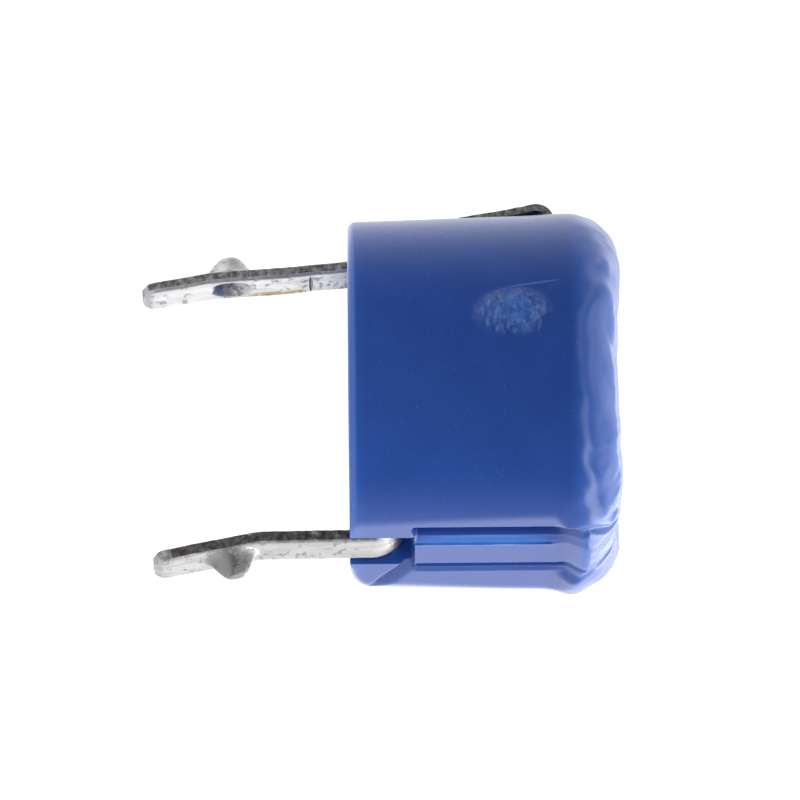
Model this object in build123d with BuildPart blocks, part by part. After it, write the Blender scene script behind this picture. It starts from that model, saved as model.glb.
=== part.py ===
# Ceramic trimmer capacitor, 6 mm class, for a circuit board: a round plastic case with a half-round stator
# plate moulded into its floor, a ceramic rotor disc with a silvered half that a screwdriver turns over it,
# and a sheet-metal top plate that the case's hot-formed lip holds down and that carries the rotor's pin.
#
# Frame: origin at the centre of the seating face, +Z up the rotor's axis, +X towards the stator's pin.
# Millimetres throughout.

import os
from math import atan, atan2, cos, pi, sin, tan

from build123d import *

# ---- case
case_d = 6.0  # across the round side, at the lip
case_h = 4.3  # seating face to the top of the lip
case_draft = 0.08  # the side stands this much further in at the seating face
case_wall = 0.8  # round side to cavity
floor_t = 0.92  # seating face to cavity floor
lip_w = 1.0  # how far the lip is folded inwards, from the round side
lip_h = 0.95  # thickness of the lip over the top plate
lip_outer_round = 0.72
lip_inner_round = 0.22

# ---- the flat beside the stator's pin, with its two grooves and the rib between them
flat_depth = 0.23  # the flat lies this far inside the round side
rib_w = 0.64
near_groove_w = 0.5
far_groove_w = 0.24
groove_depth = 0.3
groove_bottom = 1.03  # height at which the pin's pocket ends and the grooves start
hood_h = 1.05  # the round side is left whole over this much under the top of the lip
pocket_side = 0.24  # room each side of the pin
pocket_back = 0.15  # plastic left between the cavity and the pocket

# ---- sheet metal
sheet_t = 0.2
pin_w = 0.6
pin_inset = 0.5  # the pins' middles stand this far inside the round side: 5.0 between them
pin_shift = 0.08  # both pins sit this much towards the stator's side
stator_pin_l = 3.12  # below the seating face
rotor_pin_l = 3.32
pin_tip_round = 0.2
stator_bend = 0.48  # middle radius of the bend between plate and pin
stator_gap = 0.12  # plastic kept between the half-round plate and the cavity's side
stator_bore_gap = 0.25  # bearing bore to the half-round plate
tab_w = 2.0
tab_stand = 0.05  # the tab's middle stands this far outside the round side at its bend
tab_bend = 0.3  # middle radius of the bend between the top plate and the tab
tab_foot = 0.35  # height at which the tab has narrowed to the pin
tab_taper = 0.7  # length of the narrowing
plate_lap = 0.45  # the top plate reaches this far under the lip
lean_round = 1.6  # radius of the gentle bends in the pins

# Each pin is bent a little: depth below the seating face, and how far it has moved towards +X there.
stator_lean = ((1.45, 0.02), (stator_pin_l, 0.38))
rotor_lean = ((0.8, 0.09), (2.2, 0.19), (rotor_pin_l, 0.41))

# ---- the pressed dimple on each pin's outer face
dimple_depth = 1.9  # below the seating face
dimple_l = 0.9
dimple_w = 0.54
dimple_h = 0.36
dimple_wall = 0.14

# ---- rotor
ceramic_t = 0.8
silver_t = 0.04
solder_t = 0.04
spindle_d = 1.6  # lower end of the driver, through the ceramic and the floor
spindle_recess = 0.15  # its end stands this far inside the seating face
driver_flange_d = 3.2
hub_d = 2.2
hub_recess = 0.45  # top of the hub under the top of the lip
slot_w = 0.5
slot_depth = 0.36
silver_margin = 0.22  # bare ceramic outside the silvered half

# ---- spring washer
spring_t = 0.12
spring_h = 0.45  # its dished height
spring_land = 0.22  # flat rubbing ring at each edge

# ---- clearances
running = 0.05  # shaft in bore, disc in cavity
seat_gap = 0.03  # sheet metal in its seat
rub_gap = 0.02  # spring washer over the driver's flange
bond_gap = 0.03  # ceramic round the spindle
hub_gap = 0.15  # hub to the top plate's hole and to the spring washer

# ---- sizes that follow
case_r = case_d / 2
foot_r = case_r - case_draft
cavity_r = case_r - case_wall
lip_r = case_r - lip_w
plate_top = case_h - lip_h
plate_z = plate_top - sheet_t
plate_r = lip_r + plate_lap
flat_x = case_r - flat_depth
hood_z = case_h - hood_h

spindle_r = spindle_d / 2
bearing_r = spindle_r + running
stator_z = floor_t - sheet_t
stator_r = cavity_r - stator_gap
stator_bore_r = bearing_r + stator_bore_gap
stator_pin_x = case_r - pin_inset + pin_shift
rotor_pin_x = -(case_r - pin_inset) + pin_shift
pocket_x = cavity_r + pocket_back

ceramic_r = cavity_r - running
ceramic_top = floor_t + ceramic_t
silver_top = ceramic_top + silver_t
flange_z = silver_top + solder_t
spring_z = plate_z - spring_h
flange_top = spring_z - rub_gap
hub_r = hub_d / 2
hub_top = case_h - hub_recess
hole_r = hub_r + hub_gap

tab_x = -(case_r + tab_stand)
tab_slope = (rotor_pin_x - tab_x) / (plate_z + sheet_t / 2)
tab_bend_z = plate_z - tab_bend  # just under the bend
tab_bend_x = tab_x + tab_bend * tan((pi / 2 + atan(tab_slope)) / 2)  # where the plate starts to bend

os.makedirs("parts", exist_ok=True)


def strip_points(foot_x, lean):
    """The middle line of a pin under the seating face, from its foot down to its tip."""
    return [(foot_x, 0)] + [(foot_x + shift, -depth) for depth, shift in lean]


def dimple_plane(foot_x, lean, side):
    """The plane of a pin's face at its dimple, facing `side` (+1 or -1 along X)."""
    points = strip_points(foot_x, lean)
    for (x0, z0), (x1, z1) in zip(points, points[1:]):
        if z1 <= -dimple_depth <= z0:
            break
    share = (-dimple_depth - z0) / (z1 - z0)
    tilt = atan2(x1 - x0, z0 - z1)
    normal = (side * cos(tilt), 0, side * sin(tilt))
    middle = x0 + share * (x1 - x0)
    foot = (middle + normal[0] * sheet_t / 2, 0, -dimple_depth + normal[2] * sheet_t / 2)
    return Plane(origin=foot, x_dir=(0, 1, 0), z_dir=normal)


def pressed_dimple(face):
    """Adds a hollow dimple on a pin's outer face; it is open on the inner face."""
    for shrink, lift, mode in ((0, 0, Mode.ADD), (dimple_wall / 2, sheet_t, Mode.SUBTRACT)):
        with BuildSketch(face.offset(-lift)) as foot:
            Ellipse(dimple_w / 2 - shrink, dimple_l / 2 - shrink)
        with BuildSketch(face.offset(dimple_h - (dimple_wall if lift else 0))) as crest:
            Ellipse(dimple_w / 5 - shrink / 2, dimple_l / 5 - shrink / 2)
        loft([foot.sketch.face(), crest.sketch.face()], mode=mode)


# ---- stator terminal: half-round plate, bend and pin, one stamping
with BuildPart() as stator_terminal:
    with BuildSketch(Plane.XZ):
        with BuildLine():
            FilletPolyline(
                [(stator_bore_r, stator_z + sheet_t / 2), (stator_pin_x, stator_z + sheet_t / 2)]
                + strip_points(stator_pin_x, stator_lean)[1:],
                radius=[stator_bend, lean_round],
            )
        trace(line_width=sheet_t)
    extrude(amount=pin_w / 2, both=True)
    with BuildSketch(Plane.YZ):
        with BuildLine():
            Polyline(
                (-pin_w / 2, floor_t),
                (-pin_w / 2, -stator_pin_l + pin_tip_round),
                (-pin_w / 2 + pin_tip_round, -stator_pin_l - sheet_t),
                (pin_w / 2 - pin_tip_round, -stator_pin_l - sheet_t),
                (pin_w / 2, -stator_pin_l + pin_tip_round),
                (pin_w / 2, floor_t),
                close=True,
            )
        make_face()
    extrude(amount=case_d, both=True, mode=Mode.INTERSECT)
    with BuildSketch(Plane.XY.offset(stator_z)):
        Circle(stator_r)
        with Locations((-stator_r, 0)):
            Rectangle(2 * stator_r + 2 * stator_bore_gap, 2 * stator_r, mode=Mode.SUBTRACT)
        Circle(stator_bore_r, mode=Mode.SUBTRACT)
    extrude(amount=sheet_t)
    pressed_dimple(dimple_plane(stator_pin_x, stator_lean, 1))
stator_terminal.part.label = "stator_terminal"

# ---- rotor terminal: top plate with the driver's hole, wide tab down the side, and pin, one stamping
with BuildPart() as rotor_terminal:
    with BuildSketch(Plane.XZ):
        with BuildLine():
            FilletPolyline(
                [(-hole_r - plate_lap, plate_z + sheet_t / 2), (tab_x, plate_z + sheet_t / 2)]
                + strip_points(rotor_pin_x, rotor_lean),
                radius=[tab_bend] + [lean_round] * len(rotor_lean),
            )
        trace(line_width=sheet_t)
    extrude(amount=tab_w / 2, both=True)
    with BuildSketch(Plane.YZ):
        with BuildLine():
            Polyline(
                (-tab_w / 2, plate_top),
                (-tab_w / 2, tab_foot + tab_taper),
                (-pin_w / 2, tab_foot),
                (-pin_w / 2, -rotor_pin_l + pin_tip_round),
                (-pin_w / 2 + pin_tip_round, -rotor_pin_l - sheet_t),
                (pin_w / 2 - pin_tip_round, -rotor_pin_l - sheet_t),
                (pin_w / 2, -rotor_pin_l + pin_tip_round),
                (pin_w / 2, tab_foot),
                (tab_w / 2, tab_foot + tab_taper),
                (tab_w / 2, plate_top),
                close=True,
            )
        make_face()
    extrude(amount=2 * case_d, both=True, mode=Mode.INTERSECT)
    with BuildSketch(Plane.XY.offset(plate_z)):
        Circle(plate_r)
        Circle(hole_r, mode=Mode.SUBTRACT)
    extrude(amount=sheet_t)
    pressed_dimple(dimple_plane(rotor_pin_x, rotor_lean, -1))
rotor_terminal.part.label = "rotor_terminal"

# ---- case: moulded round the stator plate, with the lip formed hot over the top plate
with BuildPart() as case:
    with BuildSketch(Plane.XZ):
        with BuildLine():
            Polyline(
                (bearing_r, 0),
                (foot_r, 0),
                (case_r, plate_top),
                (case_r, case_h),
                (lip_r, case_h),
                (lip_r, plate_top),
                (plate_r + seat_gap, plate_top),
                (plate_r + seat_gap, plate_z),
                (cavity_r, plate_z),
                (cavity_r, floor_t),
                (bearing_r, floor_t),
                close=True,
            )
        profile = make_face()
        top_corners = profile.vertices().group_by(Axis.Y)[-1].sort_by(Axis.X)
        fillet(top_corners[-1], lip_outer_round)
        top_corners = profile.vertices().group_by(Axis.Y)[-1].sort_by(Axis.X)
        fillet(top_corners[0], lip_inner_round)
    revolve(axis=Axis.Z)

    # seat of the half-round plate and of its neck, up to the pocket
    with BuildSketch(Plane.XY.offset(stator_z)):
        Circle(stator_r + seat_gap)
        with Locations((-stator_r, 0)):
            Rectangle(2 * stator_r + 2 * stator_bore_gap, 2 * case_d, mode=Mode.SUBTRACT)
        Circle(stator_bore_r, mode=Mode.SUBTRACT)
        with Locations((stator_bore_r, 0)):
            Rectangle(pocket_x - stator_bore_r, pin_w, align=(Align.MIN, Align.CENTER))
    extrude(amount=sheet_t, mode=Mode.SUBTRACT)

    # the flat, with a groove each side of its rib
    with BuildSketch(Plane.XY):
        with Locations((flat_x, 0)):
            Rectangle(case_r, case_d, align=(Align.MIN, Align.CENTER))
    extrude(amount=hood_z, mode=Mode.SUBTRACT)
    with BuildSketch(Plane.XY.offset(groove_bottom)):
        for side, width in ((-1, near_groove_w), (1, far_groove_w)):
            with Locations((flat_x - groove_depth, side * (rib_w + width) / 2)):
                Rectangle(case_r, width, align=(Align.MIN, Align.CENTER))
    extrude(amount=hood_z - groove_bottom, mode=Mode.SUBTRACT)

    # the pocket in which the stator's pin turns down
    pocket_w = pin_w + 2 * pocket_side
    pin_back = stator_pin_x - stator_bend - sheet_t / 2
    with BuildSketch(Plane.XY):
        with Locations((pin_back, 0)):
            Rectangle(case_r, pocket_w, align=(Align.MIN, Align.CENTER))
    extrude(amount=stator_z, mode=Mode.SUBTRACT)
    with BuildSketch(Plane.XY.offset(stator_z)):
        with Locations((max(pin_back, pocket_x), 0)):
            Rectangle(case_r, pocket_w, align=(Align.MIN, Align.CENTER))
    extrude(amount=groove_bottom - stator_z, mode=Mode.SUBTRACT)

    # the slot and the sloping recess for the rotor's tab
    inner_x = rotor_pin_x + sheet_t / 2 + seat_gap
    plate_end = tab_bend_x + seat_gap
    with BuildSketch(Plane.XZ):
        with BuildLine():
            Polyline(
                (inner_x, 0),
                (inner_x - tab_slope * tab_bend_z, tab_bend_z),
                (plate_end, tab_bend_z),
                (plate_end, plate_z),
                (-lip_r, plate_z),
                (-lip_r, plate_top),
                (plate_end, plate_top),
                (plate_end, plate_top + seat_gap),
                (-2 * case_r, plate_top + seat_gap),
                (-2 * case_r, 0),
                close=True,
            )
        make_face()
    extrude(amount=tab_w / 2 + seat_gap, both=True, mode=Mode.SUBTRACT)
case.part.label = "case"

# ---- ceramic rotor disc, lying on the stator plate
with BuildPart() as ceramic_rotor:
    with BuildSketch(Plane.XY.offset(floor_t)):
        Circle(ceramic_r)
        Circle(spindle_r + bond_gap, mode=Mode.SUBTRACT)
    extrude(amount=ceramic_t)
ceramic_rotor.part.label = "ceramic_rotor"

# ---- fired silver on the disc's top: the half that makes the capacitance, and a ring under the driver
with BuildPart() as silver_electrode:
    with BuildSketch(Plane.XY.offset(ceramic_top)):
        Circle(ceramic_r - silver_margin)
        with Locations((-ceramic_r, 0)):
            Rectangle(2 * ceramic_r, 2 * ceramic_r, mode=Mode.SUBTRACT)
        Circle(driver_flange_d / 2)
        Circle(spindle_r + bond_gap, mode=Mode.SUBTRACT)
    extrude(amount=silver_t)
silver_electrode.part.label = "silver_electrode"

# ---- the thin ring of solder that bonds the driver to the silver
with BuildPart() as solder_ring:
    with BuildSketch(Plane.XY.offset(silver_top)):
        Circle(driver_flange_d / 2)
        Circle(spindle_r + bond_gap, mode=Mode.SUBTRACT)
    extrude(amount=solder_t)
solder_ring.part.label = "solder_ring"

# ---- driver: spindle, flange and slotted hub, turned in one piece
with BuildPart() as rotor_driver:
    with BuildSketch(Plane.XZ):
        with BuildLine():
            Polyline(
                (0, spindle_recess),
                (spindle_r, spindle_recess),
                (spindle_r, flange_z),
                (driver_flange_d / 2, flange_z),
                (driver_flange_d / 2, flange_top),
                (hub_r, flange_top),
                (hub_r, hub_top),
                (0, hub_top),
                close=True,
            )
        make_face()
    revolve(axis=Axis.Z)
    with BuildSketch(Plane.XY.offset(hub_top - slot_depth)):
        Rectangle(2 * hub_d, slot_w)
    extrude(amount=slot_depth, mode=Mode.SUBTRACT)
rotor_driver.part.label = "rotor_driver"

# ---- dished spring washer between the driver's flange and the top plate
with BuildPart() as spring_washer:
    spring_in = hole_r
    spring_out = cavity_r - hub_gap
    with BuildSketch(Plane.XZ):
        with BuildLine():
            Polyline(
                (spring_in, spring_z),
                (spring_in + spring_land, spring_z),
                (spring_out - spring_land, plate_z - spring_t),
                (spring_out, plate_z - spring_t),
                (spring_out, plate_z),
                (spring_out - spring_land, plate_z),
                (spring_in + spring_land, spring_z + spring_t),
                (spring_in, spring_z + spring_t),
                close=True,
            )
        make_face()
    revolve(axis=Axis.Z)
spring_washer.part.label = "spring_washer"

for piece in (
    case,
    stator_terminal,
    rotor_terminal,
    ceramic_rotor,
    silver_electrode,
    solder_ring,
    rotor_driver,
    spring_washer,
):
    export_step(piece.part, f"parts/{piece.part.label}.step")
    size = piece.part.bounding_box().size
    print(f"{piece.part.label}: {piece.part.volume:.3f} mm3, {size.X:.2f} x {size.Y:.2f} x {size.Z:.2f} mm")
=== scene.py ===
# %% [markdown]
# # A small ceramic trimmer capacitor
# A trimmer is a capacitor that is set once with a screwdriver. This one is six millimetres across: a
# moulded blue case, a strip of tinned sheet metal bent out of it on each side to be soldered into a
# board, and inside it a ceramic disc that the screwdriver turns. The lesson loads the finished
# construction and dresses it: every visible piece is modelled again with its real edges, dimples and
# marks, in the place that the construction says.

# %% Load the construction
from math import atan2, cos, degrees, exp, hypot, pi, radians, sin, sqrt, tan

import bmesh
import bpy
from mathutils import Matrix, Vector, noise


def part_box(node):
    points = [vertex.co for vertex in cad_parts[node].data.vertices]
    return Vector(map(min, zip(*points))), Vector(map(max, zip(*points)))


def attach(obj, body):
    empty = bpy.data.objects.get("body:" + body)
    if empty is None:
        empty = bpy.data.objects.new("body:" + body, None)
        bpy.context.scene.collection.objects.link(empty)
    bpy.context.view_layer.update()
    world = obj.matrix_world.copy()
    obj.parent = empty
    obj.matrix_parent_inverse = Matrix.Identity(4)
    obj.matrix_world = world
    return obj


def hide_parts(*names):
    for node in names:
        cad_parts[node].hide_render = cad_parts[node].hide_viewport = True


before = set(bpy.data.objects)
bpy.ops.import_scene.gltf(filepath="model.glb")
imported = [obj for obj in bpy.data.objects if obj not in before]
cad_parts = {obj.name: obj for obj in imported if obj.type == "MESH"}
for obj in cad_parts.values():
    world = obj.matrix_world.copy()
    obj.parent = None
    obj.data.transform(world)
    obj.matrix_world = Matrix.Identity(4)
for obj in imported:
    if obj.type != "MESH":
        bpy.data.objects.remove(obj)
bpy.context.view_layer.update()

# %% [markdown]
# ## Working in millimetres
# Blender's unit is the metre, and this object is a few thousandths of one. Sizes are easier to read in
# millimetres, so each mesh is built in millimetres and scaled once, when it becomes an object. The sizes
# that the construction already settles are read from its pieces rather than typed again.

# %% Sizes from the construction
MM = 0.001


def node_box(name):
    """Lowest and highest corner of a piece of the construction, in millimetres."""
    low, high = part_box(name)
    return low / MM, high / MM


case_r, case_h = node_box("case")[1].yz
driver_low, driver_high = node_box("rotor_driver")
washer_low, washer_high = node_box("spring_washer")
ceramic_low, ceramic_high = node_box("ceramic_rotor")
feet_z = node_box("rotor_terminal")[0].z
floor_z = ceramic_low.z
plate_z = washer_high.z
sheet_t = 0.2
pin_w = 0.6
print(f"case radius {case_r:.2f}, height {case_h:.2f}, floor {floor_z:.2f}, top plate at {plate_z:.2f} mm")

# %% [markdown]
# ## From a bmesh to a piece
# Every mesh ends the same way: its doubles are merged, its faces are turned outwards, it is scaled to
# metres and it is given to the body that it moves with. One function does that, so no piece misses a
# step. Faces are shaded smooth; where two faces meet at more than a set angle, the edge stays sharp.


# %% Finishing a piece
def smoothstep(low, high, x):
    """0 below `low`, 1 above `high`, and an even S between them."""
    t = min(max((x - low) / (high - low), 0.0), 1.0)
    return t * t * (3 - 2 * t)


def make_piece(name, bm, body, finishes, stands_for=(), sharp=40.0):
    """Turns a bmesh in millimetres into a finished piece riding on a body."""
    bmesh.ops.remove_doubles(bm, verts=bm.verts[:], dist=0.0005)
    bmesh.ops.dissolve_degenerate(bm, dist=0.0002, edges=bm.edges[:])
    bmesh.ops.recalc_face_normals(bm, faces=bm.faces[:])
    bmesh.ops.transform(bm, matrix=Matrix.Scale(MM, 4), verts=bm.verts[:])
    for face in bm.faces:
        face.smooth = True
    for edge in bm.edges:
        edge.smooth = len(edge.link_faces) == 2 and degrees(edge.calc_face_angle(0.0)) < sharp
    open_edges = sum(1 for edge in bm.edges if len(edge.link_faces) != 2)
    mesh = bpy.data.meshes.new(name)
    bm.to_mesh(mesh)
    bm.free()
    piece = bpy.data.objects.new(name, mesh)
    bpy.context.scene.collection.objects.link(piece)
    for finish in finishes:
        mesh.materials.append(finish)
    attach(piece, body)
    if stands_for:
        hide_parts(*stands_for)
    print(f"{name}: {len(mesh.polygons)} faces, {open_edges} open edges")
    return piece


# %% [markdown]
# ## Shader maths as ordinary expressions
# A material's pattern is a formula, and a formula reads best as one. The class below wraps a node's
# output and gives it Python's operators, so `1 - mask * 0.5` adds the Math nodes that work it out. A
# finish is the material itself, with one method that makes any other node.


# %% Sockets with operators
SMOOTH = {"interpolation_type": "SMOOTHSTEP"}


class Value:
    """A node's output that can be added, multiplied and compared like a number."""

    def __init__(self, finish, socket):
        self.finish = finish
        self.socket = socket

    def maths(self, operation, first, second=None, third=None):
        """One Math node on up to three numbers or values."""
        inputs = {i: value for i, value in enumerate((first, second, third)) if value is not None}
        return self.finish.node("ShaderNodeMath", {"operation": operation}, inputs)

    def __add__(self, other):
        return self.maths("ADD", self, other)

    def __sub__(self, other):
        return self.maths("SUBTRACT", self, other)

    def __rsub__(self, other):
        return self.maths("SUBTRACT", other, self)

    def __mul__(self, other):
        return self.maths("MULTIPLY", self, other)

    def __pow__(self, other):
        return self.maths("POWER", self, other)

    def __abs__(self):
        return self.maths("ABSOLUTE", self)

    __radd__ = __add__
    __rmul__ = __mul__

    def most(self, other):
        """The higher of the two."""
        return self.maths("MAXIMUM", self, other)

    def between(self, low, high):
        """0 below `low`, 1 above `high`, and smooth between; `low` may be the larger."""
        if low > high:
            return 1 - self.between(high, low)
        inputs = {"Value": self, "From Min": low, "From Max": high}
        return self.finish.node("ShaderNodeMapRange", SMOOTH, inputs)


class Finish:
    """A material under construction."""

    def __init__(self, name, **constants):
        self.material = bpy.data.materials.new(name)
        self.material.use_nodes = True
        self.tree = self.material.node_tree
        self.shader = self.tree.nodes["Principled BSDF"]
        for socket, number in constants.items():
            self.shader.inputs[socket.replace("_", " ")].default_value = number
        self.place = self.node("ShaderNodeTexCoord", output="Object")

    def node(self, kind, settings=(), inputs=(), output=0):
        """Makes a node, sets it up, fills its inputs, and gives one of its outputs."""
        made = self.tree.nodes.new(kind)
        for key, setting in dict(settings).items():
            setattr(made, key, setting)
        for key, value in dict(inputs).items():
            self.fill(made.inputs[key], value)
        return Value(self, made.outputs[output])

    def fill(self, socket, value):
        """Gives a socket a link or a constant."""
        if isinstance(value, Value):
            self.tree.links.new(value.socket, socket)
        else:
            socket.default_value = value

    def noise(self, scale, detail=3.0, roughness=0.5, place=None):
        """Cloudy noise; `scale` is in cells to the millimetre."""
        inputs = {"Scale": scale / MM, "Detail": detail, "Roughness": roughness}
        return self.node("ShaderNodeTexNoise", {}, {**inputs, "Vector": place or self.place})

    def stretched(self, scale, angles=(0, 0, 0)):
        """The place turned and stretched, for a pattern that runs one way."""
        inputs = {"Vector": self.place, "Rotation": angles, "Scale": scale}
        return self.node("ShaderNodeMapping", {"vector_type": "POINT"}, inputs)

    def axis(self, letter):
        """The place along one axis, in millimetres."""
        return self.node("ShaderNodeSeparateXYZ", {}, {"Vector": self.place}, letter) * (1 / MM)

    def blend(self, mask, first, second):
        """The first colour where the mask is 0, the second where it is 1."""
        made = self.tree.nodes.new("ShaderNodeMix")
        made.data_type = "RGBA"
        made.clamp_factor = True
        self.fill(made.inputs[0], mask)
        for socket, colour in ((made.inputs[6], first), (made.inputs[7], second)):
            self.fill(socket, colour if isinstance(colour, Value) else (*colour, 1))
        return Value(self, made.outputs[2])

    def patch(self, centre, reach, edge):
        """A soft-edged ellipsoid: 1 inside, 0 outside; centre and reach are in millimetres."""
        kind, place = "ShaderNodeVectorMath", self.place
        for operation, corner in (("SUBTRACT", centre), ("DIVIDE", reach)):
            place = self.node(kind, {"operation": operation}, {0: place, 1: [c * MM for c in corner]})
        distance = self.node(kind, {"operation": "LENGTH"}, {0: place}, "Value")
        return distance.between(1 + edge, 1 - edge)

    def finish(self, **varying):
        """Links what varies to the shader, with a bump from `height` in millimetres."""
        height = varying.pop("height", None)
        for socket, value in varying.items():
            self.fill(self.shader.inputs[socket.replace("_", " ")], value)
        if height is not None:
            bump = self.node("ShaderNodeBump", {}, {"Height": height, "Distance": MM, "Strength": 1.0})
            self.fill(self.shader.inputs["Normal"], bump)
        return self.material


# %% [markdown]
# ## The case: one skin, spun and then pushed
# The case is a turned shape with a story: a flat with two grooves, a pocket for one strip, a sloping
# recess for the other, and a lip that a hot tool folded inwards. Cutting all that out of a cylinder
# leaves edges that are hard to round. Instead the outline is spun into one closed skin, and every point
# of its outer side is then pushed in or out by a formula of its angle and height, as a modeller's thumb
# would. The columns are spaced close together where the grooves and the recess have their walls,
# and wide apart on the plain side.

# %% Sizes of the case
FOOT_IN = 0.08  # the side stands in this much at the seating face
FLAT_X = case_r - 0.23
RIB_HALF = 0.32
GROOVES = ((-RIB_HALF - 0.5, -RIB_HALF), (RIB_HALF, RIB_HALF + 0.24))
GROOVE_DEPTHS = (0.27, 0.14)
GROOVE_BOTTOM, GROOVE_TOP = 1.03, 3.22
POCKET_HALF = 0.5
POCKET_TOP = 1.0
POCKET_BACK, POCKET_BACK_LOW = 2.35, 2.04
RECESS_FOOT, RECESS_SLOPE = 2.29, 0.194
RECESS_ANGLE = 22.0
RECESS_TOP = 3.38
LIP_OPENING = 2.0
LIP_ROUND, LIP_EDGE = 0.78, 0.2
BORE_R = 0.85
CAVITY_R = 2.2
SEAT_R = 2.48
plate_top = plate_z + sheet_t


def column_angles():
    """Angles of the columns in degrees, close together at the walls of grooves, pocket and recess."""
    angles = [-180.0]
    while angles[-1] < 180:
        here = angles[-1] + 0.05
        behind = 180 - abs(here)
        if -18.5 < here < 16:
            step = 0.2
        elif RECESS_ANGLE - 1.5 < behind < RECESS_ANGLE + 1.5:
            step = 0.25
        elif abs(here) < 50:
            step = 0.7
        else:
            step = 1.5
        angles.append(angles[-1] + step)
    return [angle * 360 / (angles[-1] + 180) for angle in angles[:-1]]


def stack_heights():
    """Heights of the rows up the outer side, close together where a groove or pocket ends."""
    heights = [0.15 * (1 - cos(radians(step * 15))) for step in range(7)]
    while heights[-1] < case_h - LIP_ROUND - 0.05:
        here = heights[-1]
        fine = min(abs(here - wall) for wall in (POCKET_TOP, GROOVE_BOTTOM, floor_z, GROOVE_TOP))
        widest = 0.035 if here < POCKET_TOP or here > GROOVE_TOP - 0.1 else 0.09
        heights.append(here + min(widest, max(0.018, 0.35 * fine)))
    return heights


def lip_outline():
    """Points (radius, height) from the top of the side, over the lip and down to the top plate."""
    points = []
    for step in range(17):
        turn = radians(step * 90 / 16)
        radius = case_r - LIP_ROUND + LIP_ROUND * cos(turn)
        points.append((radius, case_h - LIP_ROUND + LIP_ROUND * sin(turn)))
    for step in range(1, 8):
        turn = radians(90 + step * 90 / 7)
        radius = LIP_OPENING + LIP_EDGE + LIP_EDGE * cos(turn)
        points.append((radius, case_h - LIP_EDGE + LIP_EDGE * sin(turn)))
    for step in range(1, 6):
        points.append((LIP_OPENING, case_h - LIP_EDGE + step / 5 * (plate_top - case_h + LIP_EDGE)))
    return points


SIDE_ROWS = stack_heights()
LIP_POINTS = lip_outline()
COLUMNS = column_angles()
print(len(COLUMNS), "columns,", len(SIDE_ROWS), "rows on the side,", len(LIP_POINTS), "over the lip")

# %% [markdown]
# ### What pushes the skin
# Each feature of the side is a small function. The flat is a limit on x, so its radius grows away from
# the middle; the grooves and the pocket take something off that limit; the recess behind is another,
# sloping limit. A soft minimum joins limit and cylinder, so that the edge between them is rounded like a
# moulded one.


# %% The outer side as a formula
def soft_least(a, b, blur):
    """The lower of two numbers, rounded off where they meet."""
    gap = max(blur - abs(a - b), 0.0) / blur
    return min(a, b) - gap * gap * blur / 4


def box_wave(low, high, x, blur):
    """1 between two numbers, 0 outside, with soft walls."""
    return smoothstep(low - blur, low + blur, x) * smoothstep(high + blur, high - blur, x)


def round_side(angle, height):
    """The plain side: drafted, slightly barrelled, with a rounded foot that is larger beside the pocket."""
    radius = case_r - FOOT_IN * (1 - smoothstep(-0.6, plate_top, height))
    beside = smoothstep(6, 14, angle) * (1 - smoothstep(46, 60, angle))
    foot = 0.13 + 0.2 * beside
    if height < foot:
        radius -= foot - sqrt(foot * foot - (foot - height) ** 2)
    radius += 0.09 * exp(-(((angle - 30) / 17) ** 2)) * exp(-(((height - 3.55) / 0.26) ** 2))
    radius += 0.03 * exp(-(((angle + 150) / 30) ** 2)) * exp(-(((height - 3.5) / 0.5) ** 2))
    return radius


def groove_cut(across, height):
    """Depth of the two grooves: steep at one wall, rising to the other, running out into the lip."""
    along = smoothstep(GROOVE_BOTTOM - 0.05, GROOVE_BOTTOM + 0.05, height)
    along *= 1 - 0.55 * smoothstep(3.1, 3.6, height)
    along *= 1 - smoothstep(3.75, 4.05, height)
    total = 0.0
    for (low, high), depth in zip(GROOVES, GROOVE_DEPTHS):
        shift = 0.3 * smoothstep(3.2, 4.0, height) * (high - low)
        share = (across + shift - low) / (high - low)
        floor = 1 - 0.74 * smoothstep(0.25, 0.66, share) - 0.24 * smoothstep(0.6, 1.05, share)
        total += depth * floor * smoothstep(-0.1, 0.09, share) * smoothstep(1.05, 0.95, share)
    return total * along


def flat_limit(angle, height):
    """x of the flat with its grooves, rib, pocket and the slanting step beside the pocket."""
    across = FLAT_X * tan(radians(angle))
    x = FLAT_X + 0.3 * smoothstep(GROOVE_TOP - 0.02, GROOVE_TOP + 0.65, height)
    inner = box_wave(GROOVES[0][0] - 0.02, GROOVES[1][1] + 0.08, across, 0.12)
    x -= 0.1 * inner * smoothstep(GROOVE_TOP, GROOVE_TOP + 0.3, height) * (1 - smoothstep(3.6, 4.0, height))
    x -= groove_cut(across, height)
    slant = height - 0.34 - (1.25 - across) * 0.72
    lower = smoothstep(0.28, 0.36, across)
    x -= 0.05 * lower * (1 - smoothstep(-0.04, 0.04, slant))
    valley = 1 - smoothstep(POCKET_TOP, POCKET_TOP + 0.15, height)
    x -= 0.09 * lower * exp(-((slant / 0.08) ** 2)) * valley
    flash = exp(-(((across + RIB_HALF - 0.012) / 0.022) ** 2))
    flash *= box_wave(GROOVE_BOTTOM - 0.04, GROOVE_TOP, height, 0.05)
    x += 0.022 * flash * (0.75 + 0.6 * noise.noise(Vector((height * 2.2, 3.1, 0))))
    far_side = POCKET_HALF - 0.12 * smoothstep(0.0, 0.4, across)
    pocket = box_wave(-POCKET_HALF, far_side, across, 0.03)
    pocket *= 1 - smoothstep(POCKET_TOP - 0.03, POCKET_TOP + 0.03, height)
    under_plate = floor_z - sheet_t
    rise = smoothstep(under_plate - 0.04, under_plate, height)
    back = POCKET_BACK_LOW + (POCKET_BACK - POCKET_BACK_LOW) * rise
    return x + (back - x) * pocket


def recess_limit(height):
    """How far out the sloping recess behind the tab lies."""
    return min(RECESS_FOOT + RECESS_SLOPE * height, 2.69 + 0.2 * smoothstep(2.9, 2.8, height))


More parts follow.
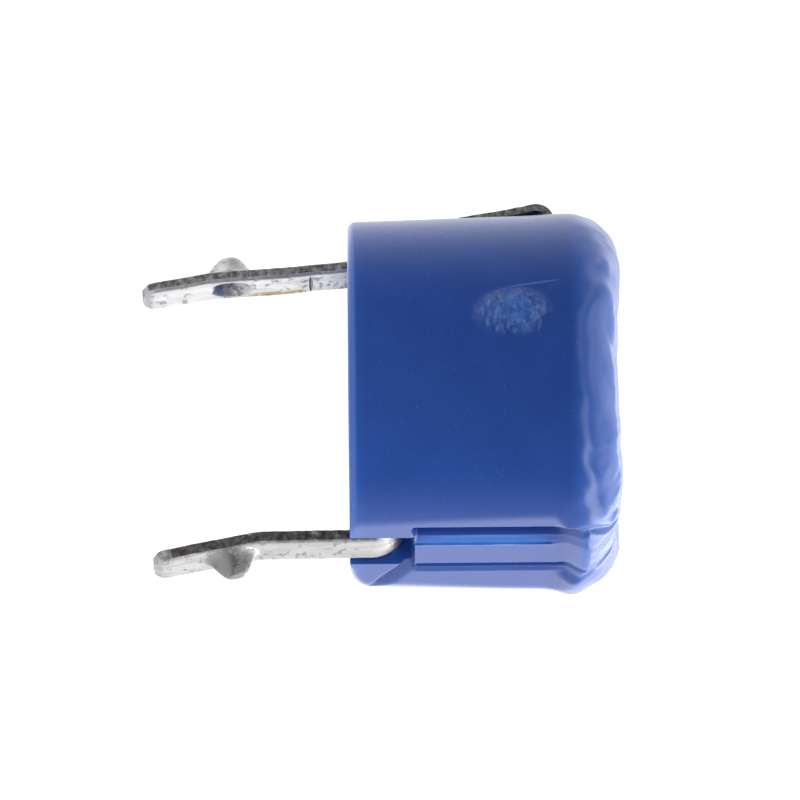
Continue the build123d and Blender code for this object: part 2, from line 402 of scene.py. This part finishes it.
def side_radius(angle, height):
    """Radius of the outer side at an angle (degrees from +X) and a height."""
    radius = round_side(angle, height)
    if abs(angle) < 60:
        radius = soft_least(radius, flat_limit(angle, height) / cos(radians(angle)), 0.03)
    behind = 180 - abs(angle)
    if behind < RECESS_ANGLE + 2:
        inside = (1 - smoothstep(RECESS_ANGLE - 0.5, RECESS_ANGLE + 0.5, behind))
        inside *= 1 - smoothstep(RECESS_TOP - 0.02, RECESS_TOP + 0.02, height)
        limit = recess_limit(height) / cos(radians(behind))
        radius += (min(limit, radius) - radius) * inside
    return radius


# %% [markdown]
# ### The folded lip
# A hot ring-shaped tool pressed the wall's end inwards. It left the lip wavy in height, uneven at its
# opening, and creased where the flat's edges ran out. The waves are a few bumps round the rim, given as
# angle, spread and height, which is how they would be measured; noise makes the rest.

# %% The lip as a formula
RIM_WAVES = (
    (-122, 20, 0.05),
    (-80, 15, -0.065),
    (-30, 17, 0.045),
    (4, 13, -0.07),
    (44, 15, 0.03),
    (88, 30, 0.07),
    (145, 26, 0.08),
    (-174, 14, 0.09),
)
RIM_EDGE = (
    (-100, 30, 0.07),
    (-45, 20, -0.06),
    (5, 16, 0.12),
    (75, 25, -0.07),
    (130, 20, 0.06),
    (-170, 22, -0.05),
)
RIM_FULL = ((-175, 24, 0.08), (60, 30, 0.03))
CREASES = ((-14.0, 1.3, 0.05), (9.0, 1.8, 0.045), (31.0, 1.1, 0.02), (-52.0, 1.0, 0.012))


def ring_wave(bumps, angle):
    """Sum of bumps round a ring, each at an angle, with a spread and a height."""
    total = 0.0
    for at, spread, height in bumps:
        away = (angle - at + 180) % 360 - 180
        total += height * exp(-((away / spread) ** 2))
    return total


def push_lip(angle, radius, height):
    """Moves a point of the lip: waves, uneven opening, creases and small lumps."""
    turn = radians(angle)
    weight = smoothstep(case_h - 1.05, case_h - 0.15, height)
    weight *= smoothstep(LIP_OPENING - 0.1, LIP_OPENING + 0.35, radius)
    inner = smoothstep(LIP_OPENING + 0.75, LIP_OPENING, radius)
    place = Vector((cos(turn) * radius, sin(turn) * radius, height))
    lumps = noise.noise(place * 2.3) * 0.03 + noise.noise(place * 6.1) * 0.009
    height += weight * (ring_wave(RIM_WAVES, angle) + lumps)
    above_plate = smoothstep(plate_top, plate_top + 0.3, height)
    radius += inner * (ring_wave(RIM_EDGE, angle) + 1.6 * lumps) * above_plate
    fold = weight * (1 - 0.6 * inner)
    radius += (0.8 * lumps + ring_wave(RIM_FULL, angle)) * fold
    for at, spread, depth in CREASES:
        bend = at + 3.0 * sin(height * 5.0 + at)
        away = (angle - bend + 180) % 360 - 180
        cut = depth * exp(-((away / spread) ** 2)) * fold
        radius -= cut * 0.8
        height -= cut * 0.6
    return radius, height


# %% Spin the outline and push every point
def case_outline():
    """Rows of the closed outline, (kind, share, radius, height), from the bore out, up and inside."""
    rows = [("foot", step / 6, BORE_R + step / 6, 0.0) for step in range(6)]
    rows += [("side", 0, case_r, height) for height in SIDE_ROWS]
    rows += [("lip", 0, radius, height) for radius, height in LIP_POINTS]
    inside = [
        (SEAT_R, plate_top),
        (SEAT_R, plate_z),
        (CAVITY_R, plate_z),
        (CAVITY_R, floor_z),
        (BORE_R, floor_z),
    ]
    return rows + [("inside", 0, radius, height) for radius, height in inside]


def spun_case():
    """The outline spun round Z, its columns moved to their angles and its points pushed."""
    rows = case_outline()
    bm = bmesh.new()
    number = bm.verts.layers.int.new("row")
    ring = []
    for index, (_, _, radius, height) in enumerate(rows):
        vert = bm.verts.new((radius + 0.0001 * index, 0, height))
        vert[number] = index
        ring.append(vert)
    edges = [bm.edges.new(pair) for pair in zip(ring, ring[1:] + ring[:1])]
    bmesh.ops.spin(
        bm, geom=ring + edges, cent=(0, 0, 0), axis=(0, 0, 1), dvec=(0, 0, 0),
        angle=2 * pi, steps=len(COLUMNS), use_merge=True, use_duplicate=False,
    )
    step = 360 / len(COLUMNS)
    bm.verts.ensure_lookup_table()
    for vert in bm.verts:
        index = vert[number]
        column = round(degrees(atan2(vert.co.y, vert.co.x)) / step) % len(COLUMNS)
        angle = COLUMNS[column]
        kind, share, radius, height = rows[index]
        if kind == "foot":
            radius = BORE_R + share * (side_radius(angle, 0.0) - BORE_R)
        elif kind == "side":
            radius, height = push_lip(angle, side_radius(angle, height), height)
        elif kind == "lip":
            outer = side_radius(angle, min(height, 3.9))
            weight = smoothstep(LIP_OPENING + 0.3, case_r, radius)
            radius += (outer - case_r) * weight
            radius, height = push_lip(angle, radius, height)
        turn = radians(angle)
        vert.co = (radius * cos(turn), radius * sin(turn), height)
    return bm


# %% [markdown]
# ## Blue plastic
# The case is a glossy engineering plastic, evenly coloured through. What makes it look real is small: a
# faint mottle in the colour, a soft orange-peel in the gloss, a scuff with torn-up shreds, and a few
# specks of dust. Where the wall is thin, at the lip, the foot and the rib's edge, light passes through it
# and it looks paler; a paler colour there costs nothing to render, where real scattering would. Soft
# ellipsoids place the marks.


# %% The case's finish
def blue_plastic():
    """Glossy blue moulded plastic with a scuff, a scratch and specks."""
    finish = Finish("blue_plastic", Roughness=0.22, Specular_IOR_Level=0.5, IOR=1.5)
    mottle = finish.noise(1.4, 4.0, 0.6)
    grain = finish.noise(22.0, 3.0, 0.6)
    base = finish.blend(mottle.between(0.3, 0.7), (0.0088, 0.0488, 0.252), (0.0112, 0.0545, 0.278))
    x, y, z = finish.axis("X"), finish.axis("Y"), finish.axis("Z")
    thin = z.between(3.45, 3.75).most(z.between(0.3, 0.0))
    base = finish.blend(thin, base, (0.0130, 0.0760, 0.350))
    rib_edge = finish.patch((2.75, -0.38, 2.1), (0.3, 0.1, 1.12), 0.25)
    base = finish.blend(rib_edge * 0.8, base, (0.030, 0.150, 0.520))
    scuff_area = finish.patch((0.06, -2.99, 2.62), (0.36, 0.3, 0.52), 0.4)
    scuff_area = scuff_area * finish.noise(2.2, 2.0, 0.6).between(0.38, 0.58)
    raised = scuff_area * finish.noise(3.4, 2.5, 0.6)
    shreds = finish.noise(6.0, 3.0, 0.6, finish.stretched((1.0, 1.0, 1.3), (0.3, 0.5, 0.9)))
    scuff = scuff_area * (0.3 + 0.7 * shreds.between(0.4, 0.65))
    tail = abs(x + 0.397 + (z - 2.5) * 0.157).between(0.024, 0.008)
    tail = tail * z.between(2.5, 2.7) * z.between(3.42, 3.2) * y.between(-2.0, -2.5)
    cells = {"Vector": finish.place, "Scale": 1.6 / MM, "Randomness": 1.0}
    specks = finish.node("ShaderNodeTexVoronoi", {"feature": "F1"}, cells)
    dots = specks.between(0.05, 0.03) * finish.noise(0.9, 1.0).between(0.68, 0.7)
    marks = (scuff * 0.4).most(tail * 0.25).most(dots * 0.4)
    colour = finish.blend(marks, base, (0.10, 0.28, 0.72))
    rough = 0.22 + grain * 0.08 + marks * 0.2
    peel = finish.noise(5.0, 2.0, 0.5)
    height = peel * 0.002 + raised * 0.14 + tail * 0.005
    return finish.finish(Base_Color=colour, Roughness=rough, height=height)


BLUE = blue_plastic()
make_piece("moulded_case", spun_case(), "housing", [BLUE], ["case"], sharp=50.0)


# %% [markdown]
# ## The two terminals: flat strip, then bent
# Each terminal is stamped from tinned sheet and bent. The model is made in the same order: a flat grid is
# the blank, a dimple is pressed into it, each point is then carried along the bent middle line, and the
# sheet gets its thickness last. The middle line is a chain of straight runs and arcs, as a bending tool
# leaves it.


# %% A bent middle line
def bent_line(points, radii, spacing=0.03):
    """Points and directions along a line in the XZ plane whose corners are rounded to the given radii."""
    path = [Vector(points[0])]
    for before, corner, after, radius in zip(points, points[1:], points[2:], radii):
        before, corner, after = Vector(before), Vector(corner), Vector(after)
        arrive, leave = (corner - before).normalized(), (after - corner).normalized()
        turn = arrive.angle_signed(leave)
        reach = radius * tan(abs(turn) / 2)
        start = corner - arrive * reach
        steps = max(4, int(abs(turn) * radius / spacing))
        side = Vector((-arrive.y, arrive.x)) * (-1 if turn > 0 else 1)
        centre = start + side * radius
        for step in range(steps + 1):
            spoke = Matrix.Rotation(-turn * step / steps, 2) @ (start - centre)
            path.append(centre + spoke)
    path.append(Vector(points[-1]))
    even = [path[0]]
    for a, b in zip(path, path[1:]):
        pieces = max(1, round((b - a).length / spacing))
        even += [a.lerp(b, piece / pieces) for piece in range(1, pieces + 1)]
    return even


def carried(line, along, across, lift):
    """The place of a flat blank's point once the blank is bent: along the line, across it and off it."""
    share = min(max(along, 0.0), 1.0) * (len(line) - 1)
    index = min(int(share), len(line) - 2)
    a, b = line[index], line[index + 1]
    before = line[max(index - 1, 0)]
    after = line[min(index + 2, len(line) - 1)]
    heading = (b - before).normalized().lerp((after - a).normalized(), share - index).normalized()
    middle = a.lerp(b, share - index)
    return Vector((middle.x - heading.y * lift, across, middle.y + heading.x * lift))


def share_at(line, height):
    """How far along the line, from 0 to 1, it passes a height on its way down."""
    for index in range(len(line) - 1, 0, -1):
        above, below = line[index - 1].y, line[index].y
        if above >= height >= below:
            return (index - 1 + (above - height) / max(above - below, 1e-9)) / (len(line) - 1)
    return 1.0


# %% [markdown]
# ### Pressing the dimple and cutting the edges
# The blank is a grid with many cells, extruded once into a closed sheet. The dimple and the ragged cut
# edges are then only displaced points. The punch raises the sheet's outer face and hollows its inner one.
# Shearing rolls one side of the edge over and tears the rest; the torn band gets a finish of its own. The
# tip was coined thinner.

# %% A stamped and bent strip
DIMPLE_DEPTH = 1.9
DIMPLE_HALF_L, DIMPLE_HALF_W = 0.46, 0.285
DIMPLE_RISE, DIMPLE_HOLLOW = 0.37, 0.3
TIP_ROUND = 0.24


def stamped_strip(line, half_width, outward, seed, coined_l, rolled, cells=20):
    """A strip of sheet bent along the line; `half_width` gives its half width for a height.

    `coined_l` is the length of edge at the tip that was pressed smooth; `rolled` is how far shearing rounded
    the inner face's edges.
    """
    rows = len(line) - 1
    dimple = share_at(line, -DIMPLE_DEPTH)
    length = sum((b - a).length for a, b in zip(line, line[1:]))
    bm = bmesh.new()
    bmesh.ops.create_grid(bm, x_segments=cells, y_segments=rows, size=0.5)
    across_layer = bm.verts.layers.float.new("across")
    along_layer = bm.verts.layers.float.new("along")
    for vert in bm.verts:
        vert[across_layer] = vert.co.x * 2
        vert[along_layer] = 0.5 - vert.co.y
    raised = bmesh.ops.extrude_face_region(bm, geom=bm.faces[:], use_keep_orig=True)["geom"]
    outer = {item for item in raised if isinstance(item, bmesh.types.BMVert)}
    for vert in bm.verts:
        side, along = vert[across_layer], vert[along_layer]
        to_tip = (1 - along) * length
        half = half_width(carried(line, along, 0, 0).z)
        if to_tip < TIP_ROUND:
            half *= 0.55 + 0.45 * sqrt(max(1 - ((TIP_ROUND - to_tip) / TIP_ROUND) ** 2, 0.0))
        at = Vector((along * length, side * 4, seed))
        roll = smoothstep(0.8, 1.0, abs(side))
        ragged = (noise.noise(at * 2.1) * 0.018 + noise.noise(at * 9.0) * 0.012) * roll
        across = side * (half + ragged)
        reach = hypot((along - dimple) * length / DIMPLE_HALF_L, across / DIMPLE_HALF_W)
        if vert in outer:
            press = DIMPLE_RISE * smoothstep(1.0, 0.25, reach)
        else:
            press = DIMPLE_HOLLOW * smoothstep(0.8, 0.0, reach)
        lift = press + noise.noise(Vector((along * length * 1.4, across * 1.5, seed + 9))) * 0.012
        thick = sheet_t * (1 - 0.45 * smoothstep(0.14, 0.0, to_tip))
        if vert in outer:
            lift += thick / 2 - 0.03 * roll * roll
        else:
            lift -= thick / 2 - rolled * roll * roll
        vert.co = carried(line, along, across, outward * lift)
    rungs = [edge for edge in bm.edges if sum(vert in outer for vert in edge.verts) == 1]
    torn = {face for edge in rungs for face in edge.link_faces}
    for face in bm.faces:
        coined = all((1 - vert[along_layer]) * length < coined_l for vert in face.verts)
        face.material_index = 1 if face in torn and not coined else 0
    split = bmesh.ops.subdivide_edges(bm, edges=rungs, cuts=3, use_grid_fill=True)["geom_inner"]
    for vert in (item for item in split if isinstance(item, bmesh.types.BMVert)):
        place = vert.co * 6.0 + Vector((0, 0, seed))
        vert.co += Vector((noise.noise(place) * 0.012, noise.noise(place * 1.7) * 0.022, 0))
    return bm


# %% [markdown]
# ### The stator's terminal
# The strip leaves the floor of the case, turns down in its pocket and goes on as the pin. Its bends are
# the construction's own: the first one is the tool's, the second one came later, by hand, just above the
# dimple. The half-round plate at its other end is moulded into the floor, out of sight; it is a spun
# strip with closed ends.

# %% Stator terminal
STATOR_BENDS = ((1.1, 0.82), (2.58, 0.82), (2.6, -1.45), (2.96, -3.12))
STATOR_RADII = (0.48, 1.6)
PLATE_IN, PLATE_OUT = 1.1, 2.08


def half_ring(bm, inner, outer, low, high, turn):
    """Adds a flat half ring: an upright rectangle spun part of the way round Z, its two ends filled."""
    corners = [(inner, low), (outer, low), (outer, high), (inner, high)]
    start = Matrix.Rotation(-turn / 2, 3, "Z")
    ring = [bm.verts.new(start @ Vector((radius, 0, height))) for radius, height in corners]
    edges = [bm.edges.new(pair) for pair in zip(ring, ring[1:] + ring[:1])]
    made = bmesh.ops.spin(bm, geom=ring + edges, cent=(0, 0, 0), axis=(0, 0, 1), angle=turn, steps=40)
    ends = edges + [item for item in made["geom_last"] if isinstance(item, bmesh.types.BMEdge)]
    bmesh.ops.holes_fill(bm, edges=ends, sides=4)


stator_line = bent_line(STATOR_BENDS, STATOR_RADII)
stator = stamped_strip(stator_line, lambda height: pin_w / 2, 1, 3.0, coined_l=0.32, rolled=0.0)
half_ring(stator, PLATE_IN, PLATE_OUT, floor_z - sheet_t, floor_z - 0.002, radians(166))

# %% [markdown]
# ### The rotor's terminal
# The top plate is a ring under the lip, with a hole for the driver. From it a wide tab goes out through
# the wall, bends down over the case's shoulder, leans inwards along the recess and narrows to the pin.

# %% Rotor terminal
ROTOR_BENDS = ((-2.2, 3.25), (-3.1, 3.25), (-2.42, 0.0), (-2.33, -0.8), (-2.23, -2.2), (-2.01, -3.32))
ROTOR_RADII = (0.22, 1.6, 1.6, 1.6)
TAB_HALF = 1.0
TAB_NARROWS = (0.35, 1.05)
HOLE_R, TOP_PLATE_R = 1.25, 2.45


def tab_half_width(height):
    """Half width of the tab: full at the top, narrowed to the pin just above the seating face."""
    low, high = TAB_NARROWS
    return pin_w / 2 + (TAB_HALF - pin_w / 2) * smoothstep(low - 0.08, high + 0.08, height)


def spun_profile(bm, points, closed=True):
    """Adds an outline of (radius, height) spun round Z; an open one has its two ends on the axis."""
    chain = [bm.verts.new((radius, 0, height)) for radius, height in points]
    following = chain[1:] + chain[:1] if closed else chain[1:]
    edges = [bm.edges.new(pair) for pair in zip(chain, following)]
    bmesh.ops.spin(
        bm, geom=chain + edges, cent=(0, 0, 0), axis=(0, 0, 1), angle=2 * pi, steps=96, use_merge=True
    )


rotor_line = bent_line(ROTOR_BENDS, ROTOR_RADII)
rotor_strip = stamped_strip(rotor_line, tab_half_width, -1, 11.0, coined_l=0.1, rolled=0.045, cells=36)
EDGE = 0.03
spun_profile(
    rotor_strip,
    [
        (HOLE_R, plate_z + EDGE),
        (HOLE_R + EDGE, plate_z),
        (TOP_PLATE_R, plate_z),
        (TOP_PLATE_R, plate_top),
        (HOLE_R + 2 * EDGE, plate_top),
        (HOLE_R + EDGE / 2, plate_top - EDGE / 2),
        (HOLE_R, plate_top - 2 * EDGE),
    ],
)

# %% [markdown]
# ## Tinned metal and its torn edge
# Dipped tin is bright but not even: it has a fine grain, small runs along the strip, flaky places and,
# near the case, a brownish stain where flux has burned. The sheared edge was never tinned, so it is dark,
# rough and a little brown. The two finishes share one mesh, in two material slots.


# %% Finishes of the terminals
def tinned(name, painted_lighting_level, dimple_shading_at, dimple_shading_reach):
    """Bright rough tin with runs and flakes, painted brightness for its lighting, painted shading at the
    dimple.
    """
    finish = Finish(name, Metallic=1.0)
    runs = finish.noise(2.2, 4.0, 0.6, finish.stretched((3.0, 3.0, 0.8)))
    flakes = finish.noise(5.5, 5.0, 0.65)
    grain = finish.noise(30.0, 2.0, 0.5)
    # The same tin is made darker or brighter by a painted lighting level, which stands for how each pin is
    # lit.
    bright = (0.99 * painted_lighting_level, 0.98 * painted_lighting_level, 0.99 * painted_lighting_level)
    dull = (0.78 * painted_lighting_level, 0.77 * painted_lighting_level, 0.78 * painted_lighting_level)
    colour = finish.blend(runs.between(0.35, 0.7), bright, dull)
    flaky = flakes.between(0.54, 0.64) * (0.35 + 0.65 * finish.axis("Z").between(0.4, -0.2))
    # Painted shading: a dark patch at the dimple, broken up by the flakes, for its slope in shadow and its
    # dark hollow.
    wear_and_painted_shading = finish.patch(dimple_shading_at, dimple_shading_reach, 0.5) * flakes.between(0.25, 0.45)
    colour = finish.blend((flaky * 0.55).most(wear_and_painted_shading * 0.85), colour, (0.15, 0.145, 0.14))
    rough = 0.34 + runs * 0.1 + flaky * 0.16
    height = runs * 0.012 + flaky * -0.006 + grain * 0.0015
    return finish, colour, rough, height


def fluxed(finish, colour, rough, height):
    """The rotor pin's extra marks: a burnt flux line along one edge, and a crack in the tin above it."""
    stain = finish.patch((-2.25, 0.22, -1.15), (0.3, 0.09, 0.5), 0.4)
    stain = stain * finish.noise(3.0, 4.0, 0.6).between(0.35, 0.5)
    colour = finish.blend(stain * 0.8, colour, (0.40, 0.28, 0.10))
    crack = finish.patch((-2.25, 0.0, -0.6), (0.3, 0.2, 0.025), 0.5)
    colour = finish.blend(crack * 0.8, colour, (0.08, 0.075, 0.07))
    return finish.finish(Base_Color=colour, Roughness=rough + stain * 0.2, height=height - crack * 0.02)


def plain(finish, colour, rough, height):
    """Tin with nothing more on it."""
    return finish.finish(Base_Color=colour, Roughness=rough, height=height)


def torn_edge(name, dark, pale):
    """The dark, grainy band that shearing leaves."""
    finish = Finish(name, Metallic=1.0)
    grain = finish.noise(11.0, 5.0, 0.7)
    tears = finish.noise(4.0, 4.0, 0.7, finish.stretched((1.0, 3.5, 1.0)))
    colour = finish.blend(grain.between(0.35, 0.7), dark, pale)
    colour = finish.blend(tears.between(0.58, 0.7) * 0.7, colour, (0.42, 0.40, 0.38))
    height = grain * 0.02 + tears * 0.02
    return finish.finish(Base_Color=colour, Roughness=0.45 + grain * 0.2, height=height)


STATOR_TORN = torn_edge("stator_torn_edge", (0.05, 0.045, 0.044), (0.17, 0.155, 0.15))
ROTOR_TORN = torn_edge("rotor_torn_edge", (0.09, 0.085, 0.085), (0.34, 0.325, 0.32))
# Both pins are one tin, painted darker on the stator's for how it is lit; each has painted shading at its
# dimple.
STATOR_TIN = plain(*tinned("stator_tin", 0.36, (3.0, -0.05, -1.95), (0.36, 0.2, 0.34)))
ROTOR_TIN = fluxed(*tinned("rotor_tin", 0.48, (-2.12, 0.0, -1.9), (0.12, 0.14, 0.2)))
for name, strip, finishes, stands_for in (
    ("stator_strip", stator, [STATOR_TIN, STATOR_TORN], "stator_terminal"),
    ("rotor_strip", rotor_strip, [ROTOR_TIN, ROTOR_TORN], "rotor_terminal"),
):
    make_piece(name, strip, "housing", finishes, [stands_for], sharp=55.0)

# %% [markdown]
# ## The driver
# The screwdriver turns this small brass part: a hub with a slot above the plate, a flange that presses
# the ceramic down, and a spindle that shows in the bore underneath. Below the slot it is one spun
# outline. Above it are two D-shaped halves, each a spun disc cut by a plane at the slot's wall.

# %% Driver
HUB_R, FLANGE_R, SPINDLE_R = 1.1, driver_high.x, 0.8
SLOT_HALF, SLOT_DEPTH = 0.25, 0.36
CHAMFER, SLOT_EDGE = 0.05, 0.025
hub_top = driver_high.z
flange_z = ceramic_high.z + 0.08
flange_top = washer_low.z - 0.02
slot_z = hub_top - SLOT_DEPTH


def solid_of_revolution(bm, points):
    """Adds a solid spun round Z; the outline's two ends lie on the axis."""
    spun_profile(bm, points, closed=False)
    bmesh.ops.remove_doubles(bm, verts=bm.verts[:], dist=0.0005)


def driver_half(side):
    """One half of the slotted hub's top, on one side of the slot."""
    bm = bmesh.new()
    low = slot_z - 0.05
    outline = [(0, low), (HUB_R, low), (HUB_R, hub_top - CHAMFER), (HUB_R - CHAMFER, hub_top), (0, hub_top)]
    solid_of_revolution(bm, outline)
    cut = bmesh.ops.bisect_plane(
        bm, geom=bm.verts[:] + bm.edges[:] + bm.faces[:], dist=0.0001,
        plane_co=(0, side * SLOT_HALF, 0), plane_no=(0, -side, 0), clear_outer=True,
    )["geom_cut"]
    bmesh.ops.holes_fill(bm, edges=[item for item in cut if isinstance(item, bmesh.types.BMEdge)], sides=0)
    bmesh.ops.recalc_face_normals(bm, faces=bm.faces[:])
    wall = {vert for vert in bm.verts if abs(vert.co.y - side * SLOT_HALF) < 0.001}
    top = {vert for vert in bm.verts if vert.co.z > hub_top - 0.001}
    rims = [edge for edge in bm.edges if all(vert in wall and vert in top for vert in edge.verts)]
    bmesh.ops.bevel(
        bm, geom=rims, offset=SLOT_EDGE, offset_type="OFFSET", segments=2, profile=0.5,
        affect="EDGES", material=-1,
    )
    return bm


def joined(parts):
    """One bmesh that holds several."""
    whole = bmesh.new()
    for part in parts:
        mesh = bpy.data.meshes.new("part")
        part.to_mesh(mesh)
        part.free()
        whole.from_mesh(mesh)
        bpy.data.meshes.remove(mesh)
    return whole


lower = bmesh.new()
solid_of_revolution(
    lower,
    [
        (0, driver_low.z),
        (SPINDLE_R - CHAMFER, driver_low.z),
        (SPINDLE_R, driver_low.z + CHAMFER),
        (SPINDLE_R, flange_z),
        (FLANGE_R, flange_z),
        (FLANGE_R, flange_top),
        (HUB_R, flange_top),
        (HUB_R, slot_z),
        (0, slot_z),
    ],
)
driver = joined([lower, driver_half(1), driver_half(-1)])


def turned_brass():
    """Nickel-bright brass with the fine rings that a lathe leaves, and a few scratches by the slot."""
    finish = Finish("turned_brass", Metallic=1.0)
    x, y = finish.axis("X"), finish.axis("Y")
    radius = (x * x + y * y) ** 0.5
    rings = finish.node("ShaderNodeMath", {"operation": "SINE"}, {0: radius * 95.0})
    cloud = finish.noise(2.5, 4.0, 0.6)
    scratches = finish.noise(6.0, 4.0, 0.7, finish.stretched((0.6, 5.0, 1.0), (0, 0, 0.25)))
    wear_and_painted_shading = scratches.between(0.6, 0.68)
    colour = finish.blend(cloud.between(0.3, 0.7), (0.50, 0.40, 0.21), (0.58, 0.49, 0.30))
    colour = finish.blend(wear_and_painted_shading * 0.4, colour, (0.72, 0.66, 0.50))
    rough = 0.24 + cloud * 0.1 + wear_and_painted_shading * 0.08
    return finish.finish(Base_Color=colour, Roughness=rough, height=rings * 0.0008 + wear_and_painted_shading * -0.002)


make_piece("slotted_driver", driver, "rotor", [turned_brass()], ["rotor_driver"])

# %% [markdown]
# ## Inside the case
# The ceramic disc, its silver half, the solder and the spring washer keep the construction's own meshes,
# because they have nothing to add but a surface. Each gets its finish in its own slot.


# %% Finishes of the inner pieces
def speckled(name, first, second, scale, rough, metallic=0.0, bumps=0.002):
    """A plain finish: two close colours, clouded, with a fine grain."""
    finish = Finish(name, Metallic=metallic)
    cloud = finish.noise(scale, 4.0, 0.6)
    grain = finish.noise(scale * 8, 2.0, 0.5)
    colour = finish.blend(cloud.between(0.35, 0.65), first, second)
    return finish.finish(Base_Color=colour, Roughness=rough + grain * 0.12, height=grain * bumps)


INNER = {
    "ceramic_rotor": speckled("lapped_ceramic", (0.68, 0.61, 0.48), (0.78, 0.72, 0.60), 2.0, 0.42),
    "silver_electrode": speckled("fired_silver", (0.82, 0.81, 0.79), (0.90, 0.89, 0.87), 3.0, 0.38, 1.0),
    "solder_ring": speckled("solder", (0.55, 0.55, 0.56), (0.68, 0.68, 0.69), 3.5, 0.24, 1.0, 0.004),
    "spring_washer": speckled("spring_bronze", (0.62, 0.56, 0.46), (0.72, 0.68, 0.60), 2.5, 0.26, 1.0),
}
for name, finish in INNER.items():
    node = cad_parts[name]
    for place in node.material_slots:
        place.material = finish
    print(name, "has", [place.material.name for place in node.material_slots])

# %% [markdown]
# ## Floor, light and camera
# The trimmer stands on its pins on a plain pale floor. The light is that of a white studio: bright from
# behind and from one side, and dim towards the camera, so that the glossy case shows clean dark faces
# between bright edges. The background that the camera sees is plain white; only the lighting sees the
# gradient.

# %% Floor
FLOOR_R = 14.0  # small, so that it lights the feet of the object and not its front
floor = bmesh.new()
bmesh.ops.create_circle(floor, cap_ends=True, segments=96, radius=FLOOR_R * MM)
floor_mesh = bpy.data.meshes.new("floor")
floor.to_mesh(floor_mesh)
floor.free()
floor = bpy.data.objects.new("floor", floor_mesh)
floor.location.z = feet_z * MM
bpy.context.scene.collection.objects.link(floor)
paper = Finish("paper", Roughness=0.9, Specular_IOR_Level=0.1)
paper.shader.inputs["Base Color"].default_value = (0.72, 0.72, 0.72, 1)
paper.shader.inputs["Emission Color"].default_value = (1, 1, 1, 1)
paper.shader.inputs["Emission Strength"].default_value = 0.4
floor_mesh.materials.append(paper.material)

# %% Light round about
bpy.context.scene.view_settings.view_transform = "Standard"
BRIGHT_SIDE = Vector((0.866, 0.5, 0.0))
BEHIND = Vector((-0.5, 0.866, 0.0))
AMBIENT, SEEN_WHITE = 0.22, 1.2
CEILINGS = ((0.3, 0.62, 0.3), (0.7, 1.0, 1.3))  # from this height to that one it gets this much brighter
TUBE_HEIGHT = 0.56
world = bpy.data.worlds.new("studio")
bpy.context.scene.world = world
world.use_nodes = True
tree = world.node_tree
background = tree.nodes["Background"]
background.inputs["Color"].default_value = (1, 1, 1, 1)


def sky(kind, settings=(), inputs=(), output=0):
    """Makes a node of the world, with its inputs filled, and gives one of its outputs."""
    made = tree.nodes.new(kind)
    for key, setting in dict(settings).items():
        setattr(made, key, setting)
    for key, value in dict(inputs).items():
        if isinstance(value, bpy.types.NodeSocket):
            tree.links.new(value, made.inputs[key])
        else:
            made.inputs[key].default_value = value
    return made.outputs[output]


def maths(operation, first, second=0.0, clamp=False):
    """One Math node of the world."""
    return sky("ShaderNodeMath", {"operation": operation, "use_clamp": clamp}, {0: first, 1: second})


def ramp(value, low, high, first=0.0, last=1.0, smooth=SMOOTH):
    """Goes from `first` to `last` as the value goes from `low` to `high`."""
    inputs = {"Value": value, "From Min": low, "From Max": high, "To Min": first, "To Max": last}
    return sky("ShaderNodeMapRange", smooth, inputs)


def towards(direction):
    """How much a ray points in a direction, from -1 to 1."""
    return sky("ShaderNodeVectorMath", {"operation": "DOT_PRODUCT"}, {0: way, 1: direction}, "Value")


way = sky("ShaderNodeTexCoord", output="Generated")
ahead, aside = towards(BEHIND), towards(BRIGHT_SIDE)
height = sky("ShaderNodeSeparateXYZ", {}, {0: way}, "Z")
reach = maths("ADD", ahead, maths("MULTIPLY", aside, 0.55, clamp=True))
white_wall = maths("MULTIPLY", ramp(reach, -0.35, 0.95), ramp(aside, -0.2, 0.9, 1.1, 2.0))
light = maths("ADD", white_wall, AMBIENT)
for low, high, strength in CEILINGS:
    light = maths("ADD", light, ramp(height, low, high, 0.0, strength))
off_tube = maths("ABSOLUTE", maths("SUBTRACT", height, TUBE_HEIGHT))
tube = maths("MULTIPLY", ramp(off_tube, 0.04, 0.12, 1.0, 0.0), ramp(aside, -0.2, 0.6, 0.9, 5.5, smooth=()))
light = maths("ADD", light, tube)
seen = sky("ShaderNodeLightPath", output="Is Camera Ray")
strength = sky("ShaderNodeMix", {}, {0: seen, 2: light, 3: SEEN_WHITE})
tree.links.new(strength, background.inputs["Strength"])


key_data = bpy.data.lights.new("key", "AREA")
key_data.shape = "RECTANGLE"
key_data.size, key_data.size_y = 34 * MM, 12 * MM
key_data.energy = 0.0015
key = bpy.data.objects.new("key", key_data)
bpy.context.scene.collection.objects.link(key)
KEY_PLACE, KEY_AIM = Vector((-12, -34, 60)), Vector((0, 0, 2))
key.location = KEY_PLACE * MM
key.rotation_euler = (KEY_PLACE - KEY_AIM).to_track_quat("Z", "Y").to_euler()
print("key light", round((KEY_PLACE - KEY_AIM).length), "mm away")

# %% Camera
# The camera looks level at the object from its left, thirty degrees round, and is rolled a quarter turn,
# so the object lies on its side with its pins to the left.
RIGHT = Vector((0.0, 0.0, 1.0))
UP = Vector((-sin(radians(60)), -cos(radians(60)), 0.0))
LEAN = radians(0.5)
AIM = Vector((0.0, 0.0, 0.82)) + UP * 0.06
DISTANCE = 150.0
lens = bpy.data.cameras.new("camera")
lens.lens = 420
lens.sensor_width = 36
lens.clip_start = 0.01
lens.clip_end = 2
camera = bpy.data.objects.new("camera", lens)
bpy.context.scene.collection.objects.link(camera)
right = RIGHT * cos(LEAN) - UP * sin(LEAN)
up = UP * cos(LEAN) + RIGHT * sin(LEAN)
back = right.cross(up)
turned = Matrix((right, up, back)).transposed().to_4x4()
camera.matrix_world = Matrix.Translation((AIM + back * DISTANCE) * MM) @ turned
bpy.context.scene.camera = camera
print("camera looks along", [round(-c, 3) for c in back])
